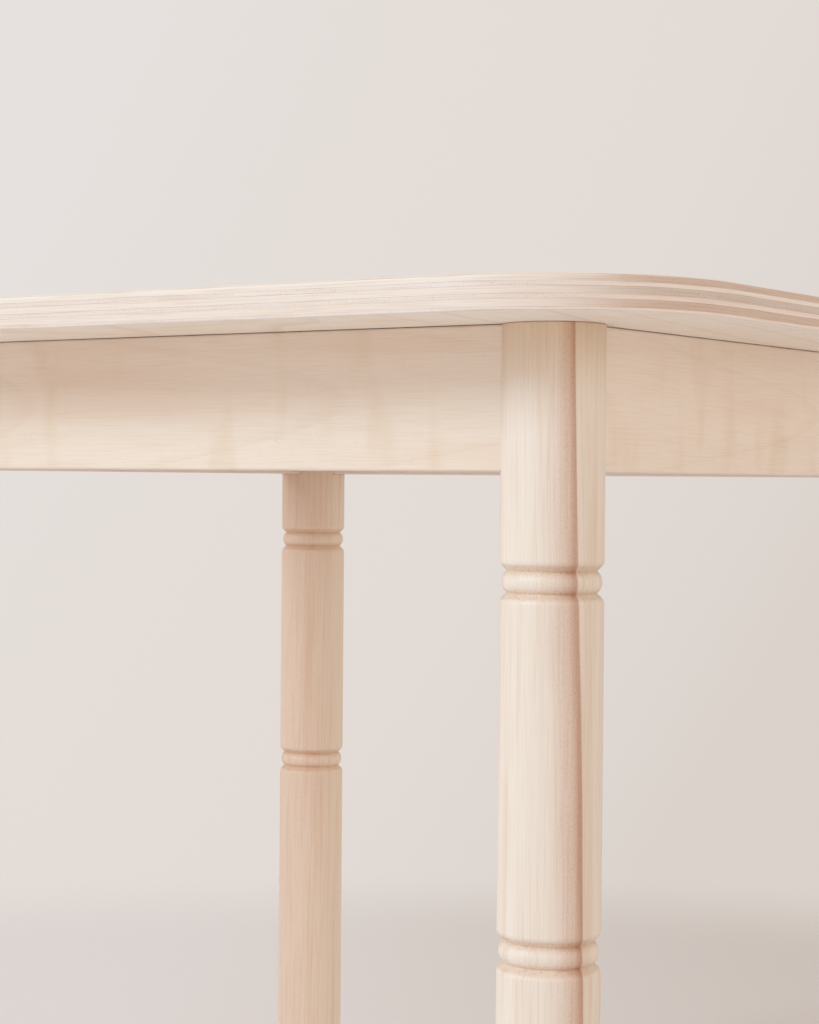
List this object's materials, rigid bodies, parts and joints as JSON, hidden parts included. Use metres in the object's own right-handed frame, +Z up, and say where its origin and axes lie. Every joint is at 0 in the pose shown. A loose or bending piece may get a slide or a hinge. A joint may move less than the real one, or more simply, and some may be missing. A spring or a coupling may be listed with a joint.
{
  "type": "children's table",
  "caption": "Low square children's table with a rounded plywood top, plywood aprons and round turned legs with beads.",
  "frame": {"origin": "on the floor, under the middle of the top", "axes": "+Z up, -Y towards the front apron, +X towards the right apron"},
  "size_m": [0.6096, 0.6096, 0.508],
  "materials": {
    "plywood_top": "clear satin lacquer, ply edges sanded",
    "plywood_apron": "clear satin lacquer",
    "turned_birch": "clear satin lacquer over turned birch",
    "block_beech": "bare planed wood",
    "glide_nylon": "moulded",
    "zinc_steel": "bright zinc plate"
  },
  "bodies": {
    "root": {"apron_back": "plywood_apron", "apron_front": "plywood_apron", "apron_left": "plywood_apron", "apron_right": "plywood_apron", "block_screws": "zinc_steel", "bolt_nuts": "zinc_steel", "bolt_washers": "zinc_steel", "clip_screws": "zinc_steel", "corner_block_back_left": "block_beech", "corner_block_back_right": "block_beech", "corner_block_front_left": "block_beech", "corner_block_front_right": "block_beech", "glide_back_left": "glide_nylon", "glide_back_right": "glide_nylon", "glide_front_left": "glide_nylon", "glide_front_right": "glide_nylon", "glide_nails": "zinc_steel", "hanger_bolts": "zinc_steel", "leg_back_left": "turned_birch", "leg_back_right": "turned_birch", "leg_front_left": "turned_birch", "leg_front_right": "turned_birch", "tabletop": "plywood_top", "tabletop_clips": "zinc_steel", "top_screws": "zinc_steel"}
  },
  "joints": []
}
